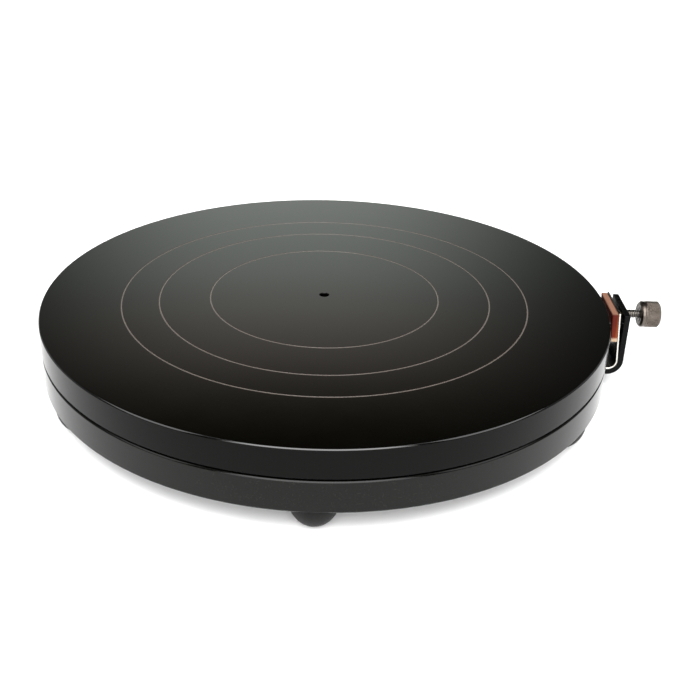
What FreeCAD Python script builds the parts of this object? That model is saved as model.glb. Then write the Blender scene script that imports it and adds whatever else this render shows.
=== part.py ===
import FreeCAD, Part
import math
import os

# Bench turntable: a round aluminium platter turning on a round aluminium base,
# with a leather friction brake that presses on the platter's edge.
#
# Frame: +Z up, X = 0 / Y = 0 on the axis of rotation, Z = 0 on the platter's
# working face, at the mouth of its centre bore. The brake stands on +X.
# All lengths are millimetres.

V = FreeCAD.Vector

# ---------------------------------------------------------------- platter
PLATTER_R = 203.2            # 16 in platter
PLATTER_T = 20.3
PLATTER_TOP_CHAMFER = 0.8
PLATTER_LOW_CHAMFER = 0.4
CENTRE_BORE_R = 3.5
RING_RADII = (82.6, 119.2, 146.0)   # centring rings cut in the working face
RING_WIDTH = 0.9
RING_DEPTH = 0.2

# ------------------------------------------------------------------- base
GAP = 1.6                    # air gap between the two discs
BASE_R = 203.2
BASE_T = 22.05
BASE_TOP_CHAMFER = 0.8
BASE_LOW_CHAMFER = 0.9
Z_PLATTER_LOW = -PLATTER_T
Z_BASE_TOP = Z_PLATTER_LOW - GAP
Z_BASE_LOW = Z_BASE_TOP - BASE_T

# ------------------------------------------------- thrust ball race (load)
RACE_R = 70.0                # radius of the ball circle
RACE_HALF_WIDTH = 10.0
RACE_T = 5.0
RACE_BALL_R = 3.175          # 1/4 in balls
RACE_BALLS = 36
RACE_GROOVE_R = 3.3
RACE_CAGE_T = 0.8
RACE_CAGE_HALF_WIDTH = 5.5
Z_RACE_BALL = (Z_PLATTER_LOW + Z_BASE_TOP) / 2

# ------------------------------------- hub ball bearing, 20 x 37 x 9, radial
BEARING_BORE_R = 10.0
BEARING_OUT_R = 18.5
BEARING_W = 9.0
BEARING_PITCH_R = 14.25
BEARING_BALL_R = 2.38
BEARING_BALLS = 11
BEARING_GROOVE_R = 2.5
BEARING_INNER_SHOULDER_R = 12.4
BEARING_OUTER_SHOULDER_R = 16.1

# ----------------------------------------------------------- hub and cover
RETAINER_T = 1.7
RETAINER_R = 28.0
RETAINER_BORE_R = 17.0
Z_BEARING_TOP = Z_BASE_TOP - RETAINER_T
Z_BEARING_LOW = Z_BEARING_TOP - BEARING_W
SPINDLE_FLANGE_R = 30.0
SPINDLE_FLANGE_T = 4.0
SPINDLE_BOSS_R = 12.3
SPINDLE_BORE_R = 4.0
SPINDLE_THREAD_R = 9.7
WASHER_T = 1.0
LOCKNUT_R = 16.0
LOCKNUT_T = 6.0
HUB_WELL_R = 16.8
COVER_R = 30.0
COVER_T = 1.2

# -------------------------------------------------------------------- feet
FOOT_COUNT = 6
FOOT_FIRST_DEG = 29.6
FOOT_CIRCLE_R = 186.3
FOOT_R = 15.9
FOOT_H = 17.65
FOOT_FLAT_R = 5.6
FOOT_WELL_R = 3.9
FOOT_WELL_DEPTH = 8.0
Z_BENCH = Z_BASE_LOW - FOOT_H

# ------------------------------------------------------------------- brake
BRAKE_W = 38.1               # tangential width of bracket, leaf and pad
BRACKET_T = 4.2
BRACKET_OUT_X = 218.2
BRACKET_TOP_Z = -2.1
BRACKET_IN_X = BRACKET_OUT_X - BRACKET_T
LEAF_T = 1.2
LEAF_TOP_Z = -0.4
LEAF_OUT_BEND_R = 6.6        # outside of the leaf's bend = inside of the bracket's
LEAF_LEAN_DEG = 4.6          # how far the screw holds the leaf off the bracket
FLANGE_IN_X = 172.0          # inner end of both flanges, under the base
BEND_X = BRACKET_IN_X - LEAF_OUT_BEND_R
BEND_Z = Z_BASE_LOW - LEAF_T + LEAF_OUT_BEND_R
PAD_T = 4.6
PAD_TOP_Z = -1.1
PAD_LOW_Z = -22.9
BRAKE_SCREW_Z = -9.0
BRAKE_SCREW_R = 3.175        # 1/4 in - 20
BRAKE_HOLE_R = 3.225
KNOB_R = 9.525
KNOB_IN_X = 229.1
KNOB_LEN = 14.4
KNOB_CHAMFER = 1.3
KNOB_BORE_DEPTH = 11.4
KNOB_GROOVE_X = 232.0        # V groove between the plain collar and the knurling
KNOB_GROOVE_W = 1.0
KNOB_GROOVE_DEPTH = 0.45
TIP_R = 2.5
TIP_STEM_R = 1.2
TIP_GAP = 0.3
FLANGE_SCREW_X = 188.0
FLANGE_SCREW_Y = 11.0

os.makedirs("parts", exist_ok=True)


def cyl(r, z0, z1, x=0.0, y=0.0):
    """Solid cylinder about Z between two heights."""
    lo, hi = min(z0, z1), max(z0, z1)
    return Part.makeCylinder(r, hi - lo, V(x, y, lo), V(0, 0, 1))


def xcyl(r, x0, x1, y=0.0, z=0.0):
    """Solid cylinder about X between two stations."""
    lo, hi = min(x0, x1), max(x0, x1)
    return Part.makeCylinder(r, hi - lo, V(lo, y, z), V(1, 0, 0))


def ring(r0, r1, z0, z1):
    return cyl(r1, z0, z1).cut(cyl(r0, min(z0, z1) - 1, max(z0, z1) + 1))


def turned(points):
    """Solid of revolution about Z from a closed (r, z) outline."""
    pts = [V(r, 0, z) for r, z in points]
    face = Part.Face(Part.makePolygon(pts + [pts[0]]))
    return face.revolve(V(0, 0, 0), V(0, 0, 1), 360)


def xturned(points, y=0.0, z=0.0):
    """Solid of revolution about a line parallel to X from (x, r) points."""
    pts = [V(x, y, z + r) for x, r in points]
    face = Part.Face(Part.makePolygon(pts + [pts[0]]))
    return face.revolve(V(0, y, z), V(1, 0, 0), 360)


def polar(count, radius, first_deg=0.0):
    for i in range(count):
        a = math.radians(first_deg + 360.0 * i / count)
        yield radius * math.cos(a), radius * math.sin(a)


def save(name, shape):
    solids = shape.Solids
    if len(solids) == 1:
        shape = solids[0]
    else:
        shape = Part.makeCompound(solids)
    if not shape.isValid():
        raise RuntimeError(name + " is not a valid shape")
    shape.exportStep("parts/" + name + ".step")
    b = shape.BoundBox
    print("%-24s %3d solid(s)  vol %11.1f  x %8.2f %8.2f  y %8.2f %8.2f  z %7.2f %7.2f"
          % (name, len(solids), shape.Volume, b.XMin, b.XMax, b.YMin, b.YMax, b.ZMin, b.ZMax))


def csk_screw(x, y, z_face, up, head_r, shank_r, length):
    """Countersunk screw whose flat head lies in the plane z_face; it runs
    towards +Z when up is +1, towards -Z when up is -1."""
    cone_h = head_r - shank_r
    rim = 0.25
    pts = [(0, 0), (head_r, 0), (head_r, rim), (shank_r, rim + cone_h),
           (shank_r, length - 0.6), (shank_r - 0.6, length), (0, length)]
    s = turned([(r, z_face + up * h) for r, h in pts])
    socket = Part.makeCylinder(head_r * 0.38, head_r * 0.42, V(0, 0, z_face), V(0, 0, up))
    hexagon = hex_prism(head_r * 0.40, z_face, z_face + up * head_r * 0.45)
    s = s.cut(hexagon)
    s.translate(V(x, y, 0))
    return s


def csk_hole(x, y, z_face, up, head_r, shank_r, depth, clear=0.05):
    cone_h = head_r - shank_r
    rim = 0.25
    pts = [(0, -1), (head_r + clear, -1), (head_r + clear, rim),
           (shank_r + clear, rim + cone_h), (shank_r + clear, depth), (0, depth)]
    s = turned([(r, z_face + up * h) for r, h in pts])
    s.translate(V(x, y, 0))
    return s


def hex_prism(r_across_corners, z0, z1, x=0.0, y=0.0):
    lo, hi = min(z0, z1), max(z0, z1)
    pts = [V(x + r_across_corners * math.cos(math.radians(60 * k)),
             y + r_across_corners * math.sin(math.radians(60 * k)), lo) for k in range(6)]
    return Part.Face(Part.makePolygon(pts + [pts[0]])).extrude(V(0, 0, hi - lo))


def head_screw(x, y, z_seat, up, head_r, head_h, shank_r, length, dome=0.0):
    """Screw with its head below the seat (up = +1): shank towards +Z."""
    d = dome
    pts = [(0, -head_h), (head_r - d, -head_h), (head_r, -head_h + d), (head_r, 0),
           (shank_r, 0), (shank_r, length - 0.6), (shank_r - 0.6, length), (0, length)]
    s = turned([(r, z_seat + up * h) for r, h in pts])
    s = s.cut(hex_prism(head_r * 0.42, z_seat - up * head_h, z_seat - up * head_h * 0.38))
    s.translate(V(x, y, 0))
    return s


# ------------------------------------------------------------------ platter
c, d = PLATTER_TOP_CHAMFER, PLATTER_LOW_CHAMFER
platter = turned([(0, 0), (PLATTER_R - c, 0), (PLATTER_R, -c),
                  (PLATTER_R, Z_PLATTER_LOW + d), (PLATTER_R - d, Z_PLATTER_LOW), (0, Z_PLATTER_LOW)])
platter = platter.cut(cyl(CENTRE_BORE_R, 1, Z_PLATTER_LOW - 1))
for rr in RING_RADII:
    platter = platter.cut(ring(rr - RING_WIDTH / 2, rr + RING_WIDTH / 2, -RING_DEPTH, 1))
# pocket for the upper race and for the spindle's flange
platter = platter.cut(ring(RACE_R - RACE_HALF_WIDTH - 0.02, RACE_R + RACE_HALF_WIDTH + 0.02,
                           Z_PLATTER_LOW + RACE_T, Z_PLATTER_LOW - 1))
platter = platter.cut(cyl(SPINDLE_FLANGE_R + 0.05, Z_PLATTER_LOW + SPINDLE_FLANGE_T, Z_PLATTER_LOW - 1))
for x, y in polar(6, 22.0):
    platter = platter.cut(cyl(2.55, Z_PLATTER_LOW, -7.0, x, y))
save("platter", platter)

# --------------------------------------------------------------------- base
c, d = BASE_TOP_CHAMFER, BASE_LOW_CHAMFER
base = turned([(0, Z_BASE_TOP), (BASE_R - c, Z_BASE_TOP), (BASE_R, Z_BASE_TOP - c),
               (BASE_R, Z_BASE_LOW + d), (BASE_R - d, Z_BASE_LOW), (0, Z_BASE_LOW)])
base = base.cut(ring(RACE_R - RACE_HALF_WIDTH - 0.02, RACE_R + RACE_HALF_WIDTH + 0.02,
                     Z_BASE_TOP - RACE_T, Z_BASE_TOP + 1))
base = base.cut(cyl(RETAINER_R + 0.05, Z_BASE_TOP - RETAINER_T, Z_BASE_TOP + 1))
base = base.cut(cyl(BEARING_OUT_R + 0.02, Z_BEARING_LOW, Z_BASE_TOP + 1))
base = base.cut(cyl(HUB_WELL_R, Z_BASE_LOW - 1, Z_BASE_TOP + 1))
base = base.cut(cyl(COVER_R + 0.1, Z_BASE_LOW + COVER_T, Z_BASE_LOW - 1))
for x, y in polar(4, 24.0, 45.0):
    base = base.cut(cyl(1.55, Z_BASE_TOP, Z_BASE_TOP - 11.0, x, y))
for x, y in polar(4, 25.0):
    base = base.cut(cyl(1.55, Z_BASE_LOW, Z_BASE_LOW + 8.5, x, y))
for x, y in polar(FOOT_COUNT, FOOT_CIRCLE_R, FOOT_FIRST_DEG):
    base = base.cut(cyl(2.05, Z_BASE_LOW - 1, Z_BASE_LOW + 12.5, x, y))
for s in (-1, 1):
    base = base.cut(cyl(2.55, Z_BASE_LOW - 1, Z_BASE_LOW + 11.5, FLANGE_SCREW_X, s * FLANGE_SCREW_Y))
save("base", base)

# --------------------------------------------------------- thrust ball race
groove = Part.makeTorus(RACE_R, RACE_GROOVE_R, V(0, 0, Z_RACE_BALL), V(0, 0, 1))
upper = ring(RACE_R - RACE_HALF_WIDTH, RACE_R + RACE_HALF_WIDTH, Z_PLATTER_LOW, Z_PLATTER_LOW + RACE_T).cut(groove)
lower = ring(RACE_R - RACE_HALF_WIDTH, RACE_R + RACE_HALF_WIDTH, Z_BASE_TOP - RACE_T, Z_BASE_TOP).cut(groove)
save("thrust_race_upper", upper)
save("thrust_race_lower", lower)
cage = ring(RACE_R - RACE_CAGE_HALF_WIDTH, RACE_R + RACE_CAGE_HALF_WIDTH,
            Z_RACE_BALL - RACE_CAGE_T / 2, Z_RACE_BALL + RACE_CAGE_T / 2)
balls = []
holes = []
for x, y in polar(RACE_BALLS, RACE_R):
    balls.append(Part.makeSphere(RACE_BALL_R, V(x, y, Z_RACE_BALL)))
    holes.append(cyl(RACE_BALL_R + 0.1, Z_RACE_BALL - 3, Z_RACE_BALL + 3, x, y))
cage = cage.cut(Part.makeCompound(holes))
save("thrust_cage", cage)
save("thrust_balls", Part.makeCompound(balls))

# -------------------------------------------------------------- hub bearing
z_mid = (Z_BEARING_TOP + Z_BEARING_LOW) / 2
groove = Part.makeTorus(BEARING_PITCH_R, BEARING_GROOVE_R, V(0, 0, z_mid), V(0, 0, 1))
save("hub_bearing_inner_ring",
     ring(BEARING_BORE_R, BEARING_INNER_SHOULDER_R, Z_BEARING_LOW, Z_BEARING_TOP).cut(groove))
save("hub_bearing_outer_ring",
     ring(BEARING_OUTER_SHOULDER_R, BEARING_OUT_R, Z_BEARING_LOW, Z_BEARING_TOP).cut(groove))
cage = ring(13.1, 15.4, z_mid - 3.2, z_mid + 3.2)
balls = []
for x, y in polar(BEARING_BALLS, BEARING_PITCH_R):
    # each ball sits in a pocket drilled straight through the cage's wall
    u = V(x, y, 0).normalize()
    cage = cage.cut(Part.makeCylinder(BEARING_BALL_R + 0.08, 5.0, V(x, y, z_mid) - u * 2.5, u))
    balls.append(Part.makeSphere(BEARING_BALL_R, V(x, y, z_mid)))
save("hub_bearing_cage", cage)
save("hub_bearing_balls", Part.makeCompound(balls))

# ---------------------------------------------------------- spindle and nut
z_washer = Z_BEARING_LOW - WASHER_T
z_nut = z_washer - LOCKNUT_T
spindle = turned([(SPINDLE_BORE_R, Z_PLATTER_LOW + SPINDLE_FLANGE_T),
                  (SPINDLE_FLANGE_R, Z_PLATTER_LOW + SPINDLE_FLANGE_T),
                  (SPINDLE_FLANGE_R, Z_PLATTER_LOW),
                  (SPINDLE_BOSS_R, Z_PLATTER_LOW),
                  (SPINDLE_BOSS_R, Z_BEARING_TOP),
                  (BEARING_BORE_R - 0.02, Z_BEARING_TOP),
                  (BEARING_BORE_R - 0.02, z_washer),
                  (SPINDLE_THREAD_R, z_washer),
                  (SPINDLE_THREAD_R, z_nut),
                  (SPINDLE_THREAD_R - 0.7, z_nut - 0.7),
                  (SPINDLE_BORE_R, z_nut - 0.7)])
screws = []
for x, y in polar(6, 22.0):
    spindle = spindle.cut(csk_hole(x, y, Z_PLATTER_LOW, 1, 4.9, 2.5, SPINDLE_FLANGE_T + 1))
    screws.append(csk_screw(x, y, Z_PLATTER_LOW, 1, 4.9, 2.5, 11.5))
save("spindle", spindle)
save("spindle_screws", Part.makeCompound(screws))

washer = ring(BEARING_BORE_R, 12.9, z_washer, Z_BEARING_LOW)
save("lock_washer", washer)
nut = ring(SPINDLE_THREAD_R + 0.03, LOCKNUT_R, z_nut, z_washer)
for k in range(4):
    slot = Part.makeBox(4.0, 5.0, LOCKNUT_T + 2, V(LOCKNUT_R - 2.2, -2.5, z_nut - 1))
    slot.rotate(V(0, 0, 0), V(0, 0, 1), 90 * k + 45)
    nut = nut.cut(slot)
save("locknut", nut)

# --------------------------------------------- bearing retainer and its screws
retainer = ring(RETAINER_BORE_R, RETAINER_R, Z_BEARING_TOP, Z_BASE_TOP)
screws = []
for x, y in polar(4, 24.0, 45.0):
    retainer = retainer.cut(csk_hole(x, y, Z_BASE_TOP, -1, 2.7, 1.5, RETAINER_T + 1))
    screws.append(csk_screw(x, y, Z_BASE_TOP, -1, 2.7, 1.5, 10.0))
save("bearing_retainer", retainer)
save("retainer_screws", Part.makeCompound(screws))

# ----------------------------------------------------- hub cover and its screws
cover = cyl(COVER_R, Z_BASE_LOW, Z_BASE_LOW + COVER_T)
screws = []
for x, y in polar(4, 25.0):
    cover = cover.cut(cyl(1.7, Z_BASE_LOW - 1, Z_BASE_LOW + COVER_T + 1, x, y))
    screws.append(head_screw(x, y, Z_BASE_LOW, 1, 2.8, 1.7, 1.5, 8.0, 0.6))
save("hub_cover", cover)
save("hub_cover_screws", Part.makeCompound(screws))

# --------------------------------------------------------------------- feet
feet, washers, screws = [], [], []
a0 = math.asin(FOOT_FLAT_R / FOOT_R)
outline = []
for k in range(13):
    a = (math.pi / 2 - a0) * k / 12
    outline.append((FOOT_R * math.cos(a), Z_BASE_LOW - FOOT_H * math.sin(a) / math.cos(a0)))
dome_pts = [V(r, 0, z) for r, z in outline]
spline = Part.BSplineCurve()
spline.interpolate(dome_pts)
well_z = Z_BENCH + FOOT_WELL_DEPTH
edges = [spline.toShape(),
         Part.makeLine(dome_pts[-1], V(FOOT_WELL_R, 0, Z_BENCH)),
         Part.makeLine(V(FOOT_WELL_R, 0, Z_BENCH), V(FOOT_WELL_R, 0, well_z)),
         Part.makeLine(V(FOOT_WELL_R, 0, well_z), V(2.05, 0, well_z)),
         Part.makeLine(V(2.05, 0, well_z), V(2.05, 0, Z_BASE_LOW)),
         Part.makeLine(V(2.05, 0, Z_BASE_LOW), dome_pts[0])]
foot = Part.Face(Part.Wire(edges)).revolve(V(0, 0, 0), V(0, 0, 1), 360)
foot_washer = ring(2.05, 3.7, well_z - 0.8, well_z)
for x, y in polar(FOOT_COUNT, FOOT_CIRCLE_R, FOOT_FIRST_DEG):
    f = foot.copy()
    f.translate(V(x, y, 0))
    feet.append(f)
    w = foot_washer.copy()
    w.translate(V(x, y, 0))
    washers.append(w)
    screws.append(head_screw(x, y, well_z - 0.8, 1, 3.4, 2.6, 2.0, 22.0, 0.8))
save("feet", Part.makeCompound(feet))
save("foot_washers", Part.makeCompound(washers))
save("foot_screws", Part.makeCompound(screws))


# ----------------------------------------------------- brake bracket and leaf
def strap(r_in, r_out, x_end, end_deg, z_top):
    """Bent flat strap in the XZ plane, extruded along Y: a flange towards -X,
    a quarter bend about (BEND_X, BEND_Z), then a straight run whose tangent
    leans end_deg inwards, cut off level at z_top."""
    a = math.radians(end_deg)

    def on(r, ang):
        return V(BEND_X + r * math.cos(ang), -BRAKE_W / 2, BEND_Z + r * math.sin(ang))

    def top(r):
        p = on(r, a)
        k = (z_top - p.z) / math.cos(a)
        return V(p.x - k * math.sin(a), p.y, z_top)

    mid = (a - math.pi / 2) / 2
    lo = -math.pi / 2
    e = [Part.makeLine(V(x_end, -BRAKE_W / 2, BEND_Z - r_out), on(r_out, lo)),
         Part.Arc(on(r_out, lo), on(r_out, mid), on(r_out, a)).toShape(),
         Part.makeLine(on(r_out, a), top(r_out)),
         Part.makeLine(top(r_out), top(r_in)),
         Part.makeLine(top(r_in), on(r_in, a)),
         Part.Arc(on(r_in, a), on(r_in, mid), on(r_in, lo)).toShape(),
         Part.makeLine(on(r_in, lo), V(x_end, -BRAKE_W / 2, BEND_Z - r_in)),
         Part.makeLine(V(x_end, -BRAKE_W / 2, BEND_Z - r_in), V(x_end, -BRAKE_W / 2, BEND_Z - r_out))]
    return Part.Face(Part.Wire(e)).extrude(V(0, BRAKE_W, 0))


bracket = strap(LEAF_OUT_BEND_R, LEAF_OUT_BEND_R + BRACKET_T, FLANGE_IN_X, 0.0, BRACKET_TOP_Z)
bracket = bracket.cut(xcyl(BRAKE_HOLE_R, BRACKET_IN_X - 2, BRACKET_OUT_X + 2, 0, BRAKE_SCREW_Z))
leaf = strap(LEAF_OUT_BEND_R - LEAF_T, LEAF_OUT_BEND_R, FLANGE_IN_X, LEAF_LEAN_DEG, LEAF_TOP_Z)
z_flange = Z_BASE_LOW - LEAF_T - BRACKET_T
screws = []
for s in (-1, 1):
    y = s * FLANGE_SCREW_Y
    bracket = bracket.cut(cyl(2.7, z_flange - 1, Z_BASE_LOW - LEAF_T + 0.1, FLANGE_SCREW_X, y))
    leaf = leaf.cut(cyl(2.7, Z_BASE_LOW - LEAF_T - 0.1, Z_BASE_LOW + 1, FLANGE_SCREW_X, y))
    screws.append(head_screw(FLANGE_SCREW_X, y, z_flange, 1, 4.75, 2.75, 2.5, LEAF_T + BRACKET_T + 10.5, 1.2))
# broken edges on the strap's free corners
edges = [e for e in bracket.Edges
         if len(e.Vertexes) == 2 and abs(e.Vertexes[0].Z - BRACKET_TOP_Z) < 1e-6
         and abs(e.Vertexes[1].Z - BRACKET_TOP_Z) < 1e-6]
bracket = bracket.makeFillet(0.7, edges)
save("brake_bracket", bracket)
save("brake_leaf", leaf)
save("bracket_screws", Part.makeCompound(screws))

# ---------------------------------------------------------------- brake pad
a = math.radians(LEAF_LEAN_DEG)
root = V(BEND_X + (LEAF_OUT_BEND_R - LEAF_T) * math.cos(a), 0, BEND_Z + (LEAF_OUT_BEND_R - LEAF_T) * math.sin(a))


def leaf_in_x(z):
    """X of the leaf's inner face at height z."""
    return root.x - (z - root.z) * math.tan(a)


g = 0.02
shift = PAD_T / math.cos(a)
pts = [V(leaf_in_x(PAD_LOW_Z) - g, -BRAKE_W / 2, PAD_LOW_Z),
       V(leaf_in_x(PAD_TOP_Z) - g, -BRAKE_W / 2, PAD_TOP_Z),
       V(leaf_in_x(PAD_TOP_Z) - g - shift, -BRAKE_W / 2, PAD_TOP_Z),
       V(leaf_in_x(PAD_LOW_Z) - g - shift, -BRAKE_W / 2, PAD_LOW_Z)]
pad = Part.Face(Part.makePolygon(pts + [pts[0]])).extrude(V(0, BRAKE_W, 0))
save("brake_pad", pad)
print("pad inner face x at top / bottom:", round(pts[2].x, 3), round(pts[3].x, 3))

# ------------------------------------------------- brake screw, tip and knob
root_out = V(BEND_X + LEAF_OUT_BEND_R * math.cos(a), 0, BEND_Z + LEAF_OUT_BEND_R * math.sin(a))
leaf_out_x = root_out.x - (BRAKE_SCREW_Z - root_out.z) * math.tan(a)
tip_x = leaf_out_x + TIP_GAP + 0.03
SPH = 5.0
dome_dx = SPH - math.sqrt(SPH * SPH - TIP_R * TIP_R)
tip_end = tip_x + 1.55
stem_end = tip_end + 4.6
tip_pts = []
for k in range(7):
    r = TIP_R * k / 6
    tip_pts.append((tip_x + SPH - math.sqrt(SPH * SPH - r * r), r))
tip = xturned(tip_pts + [(tip_end, TIP_R), (tip_end, TIP_STEM_R), (stem_end, TIP_STEM_R), (stem_end, 0)],
              0, BRAKE_SCREW_Z)
save("brake_screw_tip", tip)

screw_in = tip_end + 0.15
screw_out = KNOB_IN_X + KNOB_BORE_DEPTH - 0.5
screw = xturned([(screw_in, TIP_STEM_R + 0.05), (screw_in, BRAKE_SCREW_R - 0.5), (screw_in + 0.5, BRAKE_SCREW_R),
                 (screw_out, BRAKE_SCREW_R), (screw_out, 0), (stem_end + 0.4, 0),
                 (stem_end + 0.4, TIP_STEM_R + 0.05)], 0, BRAKE_SCREW_Z)
save("brake_screw", screw)

k = KNOB_CHAMFER
knob = xturned([(KNOB_IN_X, BRAKE_SCREW_R + 0.02), (KNOB_IN_X, KNOB_R - k), (KNOB_IN_X + k, KNOB_R),
                (KNOB_GROOVE_X, KNOB_R), (KNOB_GROOVE_X + KNOB_GROOVE_W / 2, KNOB_R - KNOB_GROOVE_DEPTH),
                (KNOB_GROOVE_X + KNOB_GROOVE_W, KNOB_R),
                (KNOB_IN_X + KNOB_LEN - k, KNOB_R), (KNOB_IN_X + KNOB_LEN, KNOB_R - k),
                (KNOB_IN_X + KNOB_LEN, 0), (KNOB_IN_X + KNOB_BORE_DEPTH, 0),
                (KNOB_IN_X + KNOB_BORE_DEPTH, BRAKE_SCREW_R + 0.02)], 0, BRAKE_SCREW_Z)
save("brake_knob", knob)
print("leaf outer x at screw", round(leaf_out_x, 3), "tip", round(tip_x, 3), "screw end", round(screw_in, 3))
print("bend centre", round(BEND_X, 3), round(BEND_Z, 3), "leaf root mid",
      round((root.x + root_out.x) / 2, 3), round((root.z + root_out.z) / 2, 3))
print("base top/low", Z_BASE_TOP, Z_BASE_LOW, "bench", Z_BENCH)
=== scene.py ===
import math

import bmesh
import bpy
import numpy as np
from mathutils import Matrix, Vector


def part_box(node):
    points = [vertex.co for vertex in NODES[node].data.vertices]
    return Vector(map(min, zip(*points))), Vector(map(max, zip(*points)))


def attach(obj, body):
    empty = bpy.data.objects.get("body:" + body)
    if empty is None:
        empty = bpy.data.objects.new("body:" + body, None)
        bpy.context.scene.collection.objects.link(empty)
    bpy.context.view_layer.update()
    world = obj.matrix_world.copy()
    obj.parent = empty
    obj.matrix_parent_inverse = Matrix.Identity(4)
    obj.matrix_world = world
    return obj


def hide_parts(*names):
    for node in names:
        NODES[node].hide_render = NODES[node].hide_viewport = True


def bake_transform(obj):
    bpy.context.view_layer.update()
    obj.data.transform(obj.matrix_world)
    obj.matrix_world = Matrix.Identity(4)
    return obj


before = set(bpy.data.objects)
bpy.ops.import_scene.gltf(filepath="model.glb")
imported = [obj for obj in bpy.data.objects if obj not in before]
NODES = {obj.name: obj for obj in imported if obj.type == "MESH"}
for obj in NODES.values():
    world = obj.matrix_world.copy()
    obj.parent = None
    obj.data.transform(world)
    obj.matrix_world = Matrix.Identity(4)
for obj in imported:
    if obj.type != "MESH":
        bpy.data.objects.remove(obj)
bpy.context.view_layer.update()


scene = bpy.context.scene
MM = 0.001


# =====================================================================
# Camera, floor, light
# =====================================================================
def make_camera():
    """The view the turntable is seen from: a little right of the platter's front, 27 degrees down."""
    r = 0.2032
    turn = math.radians(1.5)
    pitch = math.radians(27.411)
    roll = math.radians(0.792)
    tilt = Matrix(((1, 0, 0),
                   (0, math.sin(pitch), -math.cos(pitch)),
                   (0, math.cos(pitch), math.sin(pitch))))
    m = Matrix.Rotation(turn, 3, "Z") @ tilt @ Matrix.Rotation(roll, 3, "Z")
    place = Matrix.Rotation(turn, 3, "Z") @ Vector((-0.0479 * r, -3.3649 * r, 1.5722 * r))
    cam = bpy.data.cameras.new("view_camera")
    cam.sensor_width = 36
    cam.lens = 53.13
    cam.shift_x = 0.0567
    cam.shift_y = -0.0174
    cam.clip_start = 0.01
    o = bpy.data.objects.new("view_camera", cam)
    o.matrix_world = Matrix.Translation(place) @ m.to_4x4()
    scene.collection.objects.link(o)
    scene.camera = o


make_camera()
scene.view_settings.view_transform = "Standard"
scene.view_settings.look = "None"


def area(name, place, target, size, power, colour=(1, 1, 1)):
    l = bpy.data.lights.new(name, "AREA")
    l.shape = "RECTANGLE"
    l.size, l.size_y = size
    l.energy = power
    l.color = colour
    o = bpy.data.objects.new(name, l)
    o.location = place
    o.rotation_euler = (Vector(target) - Vector(place)).to_track_quat("-Z", "Y").to_euler()
    scene.collection.objects.link(o)
    return o


def make_world():
    """A studio with a dark ceiling: a lit white sweep behind the turntable, fading sideways and above
    20 degrees, dim walls at the sides and a dimmer one in front."""
    w = bpy.data.worlds.new("studio")
    scene.world = w
    w.use_nodes = True
    nt = w.node_tree
    nt.nodes.clear()
    out = nt.nodes.new("ShaderNodeOutputWorld")
    bg = nt.nodes.new("ShaderNodeBackground")
    tc = nt.nodes.new("ShaderNodeTexCoord")
    sep = nt.nodes.new("ShaderNodeSeparateXYZ")
    nt.links.new(tc.outputs["Generated"], sep.inputs[0])
    x, y, z = sep.outputs

    def m(op, a, b=0.0, clamp=False):
        n = nt.nodes.new("ShaderNodeMath")
        n.operation = op
        n.use_clamp = clamp
        for i, v in enumerate((a, b)):
            if isinstance(v, bpy.types.NodeSocket):
                nt.links.new(v, n.inputs[i])
            else:
                n.inputs[i].default_value = v
        return n.outputs[0]

    def ramp(value, stops):
        n = nt.nodes.new("ShaderNodeValToRGB")
        nt.links.new(value, n.inputs[0])
        els = n.color_ramp.elements
        while len(els) < len(stops):
            els.new(0.5)
        for e, (p, c) in zip(els, stops):
            e.position = p
            e.color = (*c, 1) if isinstance(c, tuple) else (c, c, c, 1)
        return n.outputs[0]

    def mul(a, b):
        n = nt.nodes.new("ShaderNodeVectorMath")
        n.operation = "MULTIPLY"
        nt.links.new(a, n.inputs[0])
        nt.links.new(b, n.inputs[1])
        return n.outputs[0]

    def add(a, b):
        n = nt.nodes.new("ShaderNodeVectorMath")
        n.operation = "ADD"
        nt.links.new(a, n.inputs[0])
        nt.links.new(b, n.inputs[1])
        return n.outputs[0]

    flat = m("SQRT", m("ADD", m("MULTIPLY", x, x), m("MULTIPLY", y, y)))
    s = m("DIVIDE", x, m("MAXIMUM", flat, 0.0001))
    off = m("ABSOLUTE", m("DIVIDE", m("ADD", s, 0.046), 0.226))
    lobe = m("EXPONENT", m("MULTIPLY", m("POWER", off, 2.6), -1.0))
    behind = m("GREATER_THAN", y, 0.0)
    lobe = m("MULTIPLY", lobe, behind)
    sweep = ramp(z, [(0.0, (1.02, 1.06, 1.01)), (0.335, (1.06, 1.13, 1.06)), (0.375, (0.95, 1.03, 0.95)),
                     (0.407, (0.84, 0.90, 0.83)), (0.438, (0.68, 0.66, 0.60)), (0.4695, (0.49, 0.44, 0.39)),
                     (0.50, (0.195, 0.170, 0.140)), (0.53, (0.036, 0.028, 0.017)), (0.555, (0.006, 0.004, 0.001)),
                     (1.0, (0.002, 0.001, 0.0))])
    # walls: from the direction's Y, dark next to the sweep, grey at the sides, dimmer in front
    wall = ramp(m("MULTIPLY", m("ADD", y, 1.0), 0.5), [(0.0, 0.16), (0.25, 0.22), (0.45, 0.60), (0.80, 0.62), (0.88, 0.03), (1.0, 0.0)])
    low = ramp(z, [(0.0, 1.0), (0.30, 0.95), (0.50, 0.30), (0.62, 0.03), (1.0, 0.01)])
    total = add(mul(sweep, lobe), mul(wall, low))
    nt.links.new(total, bg.inputs["Color"])
    nt.links.new(bg.outputs[0], out.inputs[0])
    bg.inputs["Strength"].default_value = 1.0


make_world()
area("left_softbox", (-1.47, -0.31, 1.61), (0, 0, -0.03), (1.3, 1.2), 17)
area("right_softbox", (1.45, -0.39, 1.61), (0, 0, -0.03), (1.3, 1.2), 17)


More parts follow.
